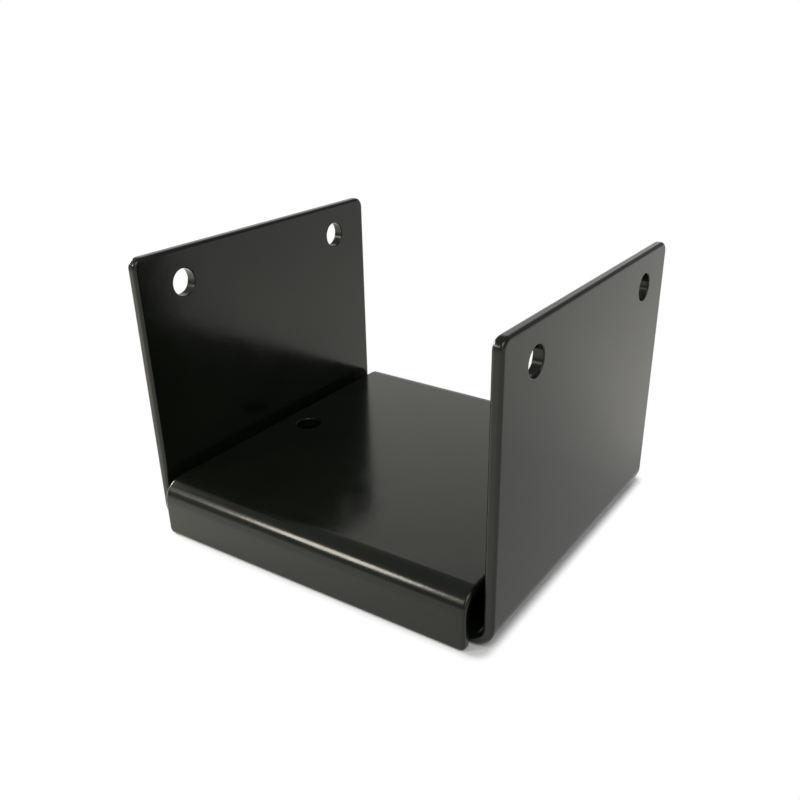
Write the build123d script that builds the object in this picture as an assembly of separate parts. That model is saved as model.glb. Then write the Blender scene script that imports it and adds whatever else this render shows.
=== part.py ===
from build123d import *
import os

# Sheet-steel U bracket: a channel with two upright walls, and a second folded
# plate that bridges the channel's base as a raised seat. The seat's two lips
# stand on the mounting plane, just in front of the base and just behind it.
# X runs from wall to wall, Y from front to back and Z up. The origin is on the
# mounting plane, under the middle of the channel.

# Driving dimensions, in millimetres
sheet = 3.0             # steel thickness, coat included
fold_inner = 3.0        # inside radius of every fold
edge_round = 1.0        # softening of the cut edges, under the coat
rim_round = 0.3         # softening of the holes' rims
overall_width = 109.4   # across the outsides of the walls
depth = 95.6            # front edge to back edge of the channel
height = 78.0           # underside of the base to the top of the walls
wall_corner = 3.0       # radius of the walls' top corners
hole = 7.5              # diameter of every hole
wall_hole_drop = 9.5    # wall's top edge to the hole's centre
wall_hole_inset = 15.5  # wall's front or back edge to the hole's centre
fixing_inset = 9.2      # seat's side edge to the centre of the fixing hole there
seat_top = 16.0         # height of the seat's upper face
side_gap = 2.5          # between the seat and each wall
lip_clearance = 0.9     # between the channel's front or back edge and the lip there
lip_corner = 1.5        # radius of the lips' bottom corners

# Sizes that follow from them
fold_outer = fold_inner + sheet
inner_width = overall_width - 2 * sheet
seat_width = inner_width - 2 * side_gap
seat_inner = depth / 2 + lip_clearance  # middle of the seat to the inside of a lip
seat_outer = seat_inner + sheet
fixing_x = seat_width / 2 - fixing_inset
wall_hole_y = depth / 2 - wall_hole_inset
wall_hole_z = height - wall_hole_drop


def rectangle(left, bottom, right, top):
    """Rectangle between two opposite corners."""
    middle = Pos((left + right) / 2, (bottom + top) / 2)
    return middle * Rectangle(right - left, top - bottom)


def sharp_edges(solid):
    """Edges where two faces meet at a corner, not where a fold turns smoothly into a flat."""
    faces = solid.faces()
    picked = ShapeList()
    for edge in solid.edges():
        sides = [face for face in faces if edge in face.edges()]
        normals = [side.normal_at(edge @ 0.5) for side in sides]
        if normals[0].get_angle(normals[-1]) > 30:
            picked.append(edge)
    return picked


def soften(solid):
    """Round every cut edge well, but the rims of the holes only a little."""
    rims = sharp_edges(solid).filter_by(lambda edge: edge.is_closed)
    solid = fillet(rims, rim_round)
    return fillet(sharp_edges(solid), min(edge_round, 0.4 * sheet))


def fixing_holes():
    """Upright pins that cut the pair of fixing holes."""
    pins = Cylinder(hole / 2, 4 * seat_top)
    return Pos(-fixing_x, 0) * pins + Pos(fixing_x, 0) * pins


# Channel: one blank, with both walls folded up from the base
outside = rectangle(-overall_width / 2, 0, overall_width / 2, height)
outside = fillet(outside.vertices().group_by(Axis.Y)[0], fold_outer)
inside = rectangle(-inner_width / 2, sheet, inner_width / 2, 2 * height)
inside = fillet(inside.vertices().group_by(Axis.Y)[0], fold_inner)
channel = extrude(Plane.XZ * (outside - inside), depth / 2, both=True)

# Holes: two near the top of each wall, and the pair of fixing holes in the base
for hole_y in (-wall_hole_y, wall_hole_y):
    bore = Rot(0, 90, 0) * Cylinder(hole / 2, 2 * overall_width)
    channel -= Pos(0, hole_y, wall_hole_z) * bore
channel -= fixing_holes()

# Rounded top corners, then every cut edge softened
wall_tips = channel.edges().filter_by(Axis.X).group_by(Axis.Z)[-1]
channel = fillet(wall_tips, wall_corner)
channel = soften(channel)

# Seat: a second blank, flat on top, with its front and back edges folded down
outside = rectangle(-seat_outer, 0, seat_outer, seat_top)
outside = fillet(outside.vertices().group_by(Axis.Y)[-1], fold_outer)
inside = rectangle(-seat_inner, -sheet, seat_inner, seat_top - sheet)
inside = fillet(inside.vertices().group_by(Axis.Y)[-1], fold_inner)
seat = extrude(Plane.YZ * (outside - inside), seat_width / 2, both=True)
seat -= fixing_holes()
seat = fillet(seat.edges().filter_by(Axis.Y).group_by(Axis.Z)[0], lip_corner)
seat = soften(seat)

os.makedirs("parts", exist_ok=True)
export_step(channel, "parts/u_channel.step")
export_step(seat, "parts/seat_plate.step")
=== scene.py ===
import bpy
from math import cos, pi, radians, sin
from mathutils import Matrix, Vector

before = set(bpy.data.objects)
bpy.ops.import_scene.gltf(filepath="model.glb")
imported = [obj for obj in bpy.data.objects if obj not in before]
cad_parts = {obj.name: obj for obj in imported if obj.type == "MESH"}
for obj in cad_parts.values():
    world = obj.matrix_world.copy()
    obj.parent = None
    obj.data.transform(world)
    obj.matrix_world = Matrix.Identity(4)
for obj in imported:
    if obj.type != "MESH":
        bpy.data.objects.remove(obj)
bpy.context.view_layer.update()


# U channel: one laser-cut blank of 3 mm steel, with both walls folded up from the
# base. It is powder coated all over after folding, in a glossy black that comes
# out of the oven with an orange peel.
def powder_coat(name, batch):
    """Glossy black powder coat with orange peel, a few dust nibs and faint cloudiness."""
    coat = bpy.data.materials.new(name)
    coat.use_nodes = True
    nodes, links = coat.node_tree.nodes, coat.node_tree.links
    shader = nodes["Principled BSDF"]
    shader.inputs["IOR"].default_value = 1.42

    # Each batch has its own patch of the patterns below
    place = nodes.new("ShaderNodeTexCoord")
    shift = nodes.new("ShaderNodeVectorMath")
    shift.operation = "ADD"
    shift.inputs[1].default_value = (batch, 0.37 * batch, 0.61 * batch)
    links.new(place.outputs["Object"], shift.inputs[0])
    where = shift.outputs["Vector"]

    # Cloudiness: the pigment lies a little thicker in some places than in others
    deep_black = (0.0028, 0.0046, 0.0026, 1)
    thin_black = (0.0054, 0.0072, 0.0046, 1)
    cloud = nodes.new("ShaderNodeTexNoise")
    cloud.inputs["Scale"].default_value = 45
    cloud.inputs["Detail"].default_value = 3
    links.new(where, cloud.inputs["Vector"])
    tint = nodes.new("ShaderNodeValToRGB")
    tint.color_ramp.elements[0].position = 0.3
    tint.color_ramp.elements[0].color = deep_black
    tint.color_ramp.elements[1].position = 0.7
    tint.color_ramp.elements[1].color = thin_black
    links.new(cloud.outputs["Fac"], tint.inputs["Fac"])
    links.new(tint.outputs["Color"], shader.inputs["Base Color"])

    # Gloss: an even shine, slightly duller where the coat is thin or handled
    handling = nodes.new("ShaderNodeTexNoise")
    handling.inputs["Scale"].default_value = 110
    handling.inputs["Detail"].default_value = 5
    handling.inputs["Roughness"].default_value = 0.65
    links.new(where, handling.inputs["Vector"])
    gloss = nodes.new("ShaderNodeMapRange")
    gloss.inputs["From Min"].default_value = 0.3
    gloss.inputs["From Max"].default_value = 0.72
    gloss.inputs["To Min"].default_value = 0.14
    gloss.inputs["To Max"].default_value = 0.21
    links.new(handling.outputs["Fac"], gloss.inputs["Value"])
    links.new(gloss.outputs["Result"], shader.inputs["Roughness"])

    # Orange peel: low, smooth waves about a millimetre and a half across
    peel_height = 0.00001
    peel = nodes.new("ShaderNodeTexNoise")
    peel.inputs["Scale"].default_value = 650
    peel.inputs["Detail"].default_value = 1.5
    peel.inputs["Roughness"].default_value = 0.4
    links.new(where, peel.inputs["Vector"])
    waves = nodes.new("ShaderNodeBump")
    waves.inputs["Strength"].default_value = 1
    waves.inputs["Distance"].default_value = peel_height
    links.new(peel.outputs["Fac"], waves.inputs["Height"])

    # Nibs: a few single specks of dust, baked into the coat
    nib_height = 0.00009
    dust = nodes.new("ShaderNodeTexVoronoi")
    dust.inputs["Scale"].default_value = 75
    dust.inputs["Randomness"].default_value = 1
    links.new(where, dust.inputs["Vector"])
    speck = nodes.new("ShaderNodeMapRange")
    speck.interpolation_type = "SMOOTHSTEP"
    speck.inputs["From Min"].default_value = 0.028
    speck.inputs["From Max"].default_value = 0.0
    links.new(dust.outputs["Distance"], speck.inputs["Value"])
    chosen = nodes.new("ShaderNodeMath")
    chosen.operation = "GREATER_THAN"
    chosen.inputs[1].default_value = 0.8
    links.new(dust.outputs["Color"], chosen.inputs[0])
    nib = nodes.new("ShaderNodeMath")
    nib.operation = "MULTIPLY"
    links.new(speck.outputs["Result"], nib.inputs[0])
    links.new(chosen.outputs["Value"], nib.inputs[1])
    bumps = nodes.new("ShaderNodeBump")
    bumps.inputs["Strength"].default_value = 1
    bumps.inputs["Distance"].default_value = nib_height
    links.new(nib.outputs["Value"], bumps.inputs["Height"])
    links.new(waves.outputs["Normal"], bumps.inputs["Normal"])
    links.new(bumps.outputs["Normal"], shader.inputs["Normal"])
    return coat


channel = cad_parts["u_channel"]
channel.data.materials.clear()
channel.data.materials.append(powder_coat("channel_coat", 1.3))

# Seat plate: the second blank of the same sheet, with its front and back edges
# folded down as lips that stand on the ground. It is coated apart from the channel,
# in the same powder, and then dropped in between the walls.
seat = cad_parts["seat_plate"]
seat.data.materials.clear()
seat.data.materials.append(powder_coat("seat_coat", 4.7))

# Floor: a sheet of matt white paper on a large table. It keeps the bracket's contact
# shadow, and beyond that it is plain white to the camera. The coat mirrors the lit
# paper near the bracket, and clean white further out.
floor_half = 30.0
floor_mesh = bpy.data.meshes.new("floor")
corners = [(-floor_half, -floor_half, 0), (floor_half, -floor_half, 0),
           (floor_half, floor_half, 0), (-floor_half, floor_half, 0)]
floor_mesh.from_pydata(corners, [], [(0, 1, 2, 3)])
floor = bpy.data.objects.new("floor", floor_mesh)
bpy.context.scene.collection.objects.link(floor)

paper = bpy.data.materials.new("white_paper")
paper.use_nodes = True
nodes, links = paper.node_tree.nodes, paper.node_tree.links
nodes.clear()
ray = nodes.new("ShaderNodeLightPath")
place = nodes.new("ShaderNodeTexCoord")
mirrored = nodes.new("ShaderNodeMath")
mirrored.operation = "ADD"
links.new(ray.outputs["Is Glossy Ray"], mirrored.inputs[0])
links.new(ray.outputs["Is Transmission Ray"], mirrored.inputs[1])

# Lit paper: an ordinary off-white, full white where the coat mirrors it, and with a
# touch of paper brightener to the eye, which keeps the shadow neutral in warm light
whiteness = nodes.new("ShaderNodeMapRange")
whiteness.inputs["To Min"].default_value = 0.8
whiteness.inputs["To Max"].default_value = 1.0
links.new(mirrored.outputs["Value"], whiteness.inputs["Value"])
brightener = nodes.new("ShaderNodeVectorMath")
brightener.operation = "MULTIPLY_ADD"
brightener.inputs[1].default_value = (0, 0.01, 0.06)
links.new(ray.outputs["Is Camera Ray"], brightener.inputs[0])
links.new(whiteness.outputs["Result"], brightener.inputs[2])
lit = nodes.new("ShaderNodeBsdfDiffuse")
links.new(brightener.outputs["Vector"], lit.inputs["Color"])
clean = nodes.new("ShaderNodeEmission")
clean.inputs["Color"].default_value = (1, 1, 1, 1)
clean.inputs["Strength"].default_value = 1.0

# What the coat mirrors: lit paper at first, and clean white from arm's length out
mirror_from = 0.24
mirror_to = 0.60
clean_at_foot = 0.2
distance = nodes.new("ShaderNodeVectorMath")
distance.operation = "LENGTH"
links.new(place.outputs["Object"], distance.inputs[0])
far = nodes.new("ShaderNodeMapRange")
far.interpolation_type = "SMOOTHSTEP"
far.inputs["To Min"].default_value = clean_at_foot
far.inputs["From Min"].default_value = mirror_from
far.inputs["From Max"].default_value = mirror_to
links.new(distance.outputs["Value"], far.inputs["Value"])
clean_in_coat = nodes.new("ShaderNodeMath")
clean_in_coat.operation = "MULTIPLY"
links.new(mirrored.outputs["Value"], clean_in_coat.inputs[0])
links.new(far.outputs["Result"], clean_in_coat.inputs[1])

# What the camera sees: the contact shadow close to the bracket's foot, and clean
# white from a few millimetres outside it
foot_half = (0.050, 0.0478, 0)
shadow_from = 0.0028
shadow_to = 0.0060
sideways = nodes.new("ShaderNodeVectorMath")
sideways.operation = "ABSOLUTE"
links.new(place.outputs["Object"], sideways.inputs[0])
past_foot = nodes.new("ShaderNodeVectorMath")
past_foot.operation = "SUBTRACT"
past_foot.inputs[1].default_value = foot_half
links.new(sideways.outputs["Vector"], past_foot.inputs[0])
outside_foot = nodes.new("ShaderNodeVectorMath")
outside_foot.operation = "MAXIMUM"
links.new(past_foot.outputs["Vector"], outside_foot.inputs[0])
gap = nodes.new("ShaderNodeVectorMath")
gap.operation = "LENGTH"
links.new(outside_foot.outputs["Vector"], gap.inputs[0])
near = nodes.new("ShaderNodeMapRange")
near.interpolation_type = "SMOOTHSTEP"
near.inputs["From Min"].default_value = shadow_from
near.inputs["From Max"].default_value = shadow_to
links.new(gap.outputs["Value"], near.inputs["Value"])
clean_share = nodes.new("ShaderNodeMath")
clean_share.operation = "MULTIPLY_ADD"
links.new(ray.outputs["Is Camera Ray"], clean_share.inputs[0])
links.new(near.outputs["Result"], clean_share.inputs[1])
links.new(clean_in_coat.outputs["Value"], clean_share.inputs[2])
blend = nodes.new("ShaderNodeMixShader")
links.new(clean_share.outputs["Value"], blend.inputs["Fac"])
links.new(lit.outputs["BSDF"], blend.inputs[1])
links.new(clean.outputs["Emission"], blend.inputs[2])
surface = nodes.new("ShaderNodeOutputMaterial")
links.new(blend.outputs["Shader"], surface.inputs["Surface"])
floor_mesh.materials.append(paper)


# Lamps: a soft round key lamp low in front on the left with a wide glow around it, a
# small lamp close by on the left, a large softbox and a panel on the right, and a dim
# panel behind on the left. Azimuths go from the bracket's right side towards its back.
def lamp(name, shape, azimuth, elevation, distance, width, height, radiance, colour):
    """Soft lamp that faces the bracket, aimed at a point a little above the floor."""
    aim = Vector((0, 0, 0.04))
    light = bpy.data.lights.new(name, "AREA")
    light.shape = shape
    light.size = width
    light.size_y = height
    area = width * height
    if shape == "ELLIPSE":
        area *= pi / 4
    light.energy = radiance * area * pi
    light.color = colour
    toward = Vector((cos(radians(azimuth)) * cos(radians(elevation)),
                     sin(radians(azimuth)) * cos(radians(elevation)),
                     sin(radians(elevation))))
    turn = toward.to_track_quat("Z", "Y").to_matrix().to_4x4()
    body = bpy.data.objects.new(name, light)
    body.matrix_world = Matrix.Translation(toward * distance + aim) @ turn
    body.visible_camera = False
    bpy.context.scene.collection.objects.link(body)


warm = (1, 0.94, 0.8)
mild = (1, 0.96, 0.86)
neutral = (1, 1, 0.9)
lamp("key_lamp", "ELLIPSE", -126.8, 29, 1.5, 0.36, 0.36, 20, warm)
lamp("key_glow", "RECTANGLE", -128, 29, 1.5, 0.95, 0.4, 1.5, warm)
lamp("left_lamp", "RECTANGLE", -175, 20, 0.42, 0.2, 0.12, 30, mild)
lamp("right_softbox", "RECTANGLE", -45, 52, 1.5, 1.0, 0.7, 3.4, neutral)
lamp("right_panel", "RECTANGLE", -45, 25, 1.5, 1.0, 0.5, 1.0, neutral)
lamp("back_panel", "RECTANGLE", 128, 24, 1.5, 1.4, 0.9, 0.65, neutral)

# Room: dim above, with a clean white backdrop. The camera sees the backdrop all
# round, and the coat mirrors it only low down, where it stands behind the floor.
room_level = 0.32
backdrop_top = 0.12
room = bpy.data.worlds.new("room")
room.use_nodes = True
nodes, links = room.node_tree.nodes, room.node_tree.links
backdrop = nodes["Background"]
backdrop.inputs["Color"].default_value = (1, 1, 1, 1)
ray = nodes.new("ShaderNodeLightPath")
direction = nodes.new("ShaderNodeTexCoord")
height = nodes.new("ShaderNodeSeparateXYZ")
links.new(direction.outputs["Generated"], height.inputs["Vector"])
low = nodes.new("ShaderNodeMapRange")
low.interpolation_type = "SMOOTHSTEP"
low.inputs["From Min"].default_value = backdrop_top
low.inputs["From Max"].default_value = 0.0
links.new(height.outputs["Z"], low.inputs["Value"])
seen_in_coat = nodes.new("ShaderNodeMath")
seen_in_coat.operation = "MULTIPLY_ADD"
links.new(ray.outputs["Is Glossy Ray"], seen_in_coat.inputs[0])
links.new(low.outputs["Result"], seen_in_coat.inputs[1])
links.new(ray.outputs["Is Transmission Ray"], seen_in_coat.inputs[2])
seen = nodes.new("ShaderNodeMath")
seen.operation = "ADD"
links.new(ray.outputs["Is Camera Ray"], seen.inputs[0])
links.new(seen_in_coat.outputs["Value"], seen.inputs[1])
level = nodes.new("ShaderNodeMapRange")
level.inputs["To Min"].default_value = room_level
level.inputs["To Max"].default_value = 1.0
links.new(seen.outputs["Value"], level.inputs["Value"])
links.new(level.outputs["Result"], backdrop.inputs["Strength"])
bpy.context.scene.world = room

# Camera: held a little above the bracket and to its right, with a slight tilt. Its
# lens is in millimetres, and shifted because the bracket stands off its middle.
azimuth = radians(31.047)
elevation = radians(26.524)
tilt = radians(0.685)
stand = (0.129815, -0.189695, 0.137292)
back = Vector((sin(azimuth) * cos(elevation), -cos(azimuth) * cos(elevation), sin(elevation)))
across = Vector((cos(azimuth), sin(azimuth), 0))
upward = back.cross(across)
right = across * cos(tilt) + upward * sin(tilt)
up = upward * cos(tilt) - across * sin(tilt)
lens = bpy.data.cameras.new("camera")
lens.sensor_width = 36
lens.lens = 39.11355
lens.shift_x = -0.07181625
lens.shift_y = 0.04379375
lens.clip_start = 0.01
camera = bpy.data.objects.new("camera", lens)
turn = Matrix((right, up, back)).transposed().to_4x4()
camera.matrix_world = Matrix.Translation(stand) @ turn
bpy.context.scene.collection.objects.link(camera)
bpy.context.scene.camera = camera
bpy.context.scene.view_settings.view_transform = "Standard"
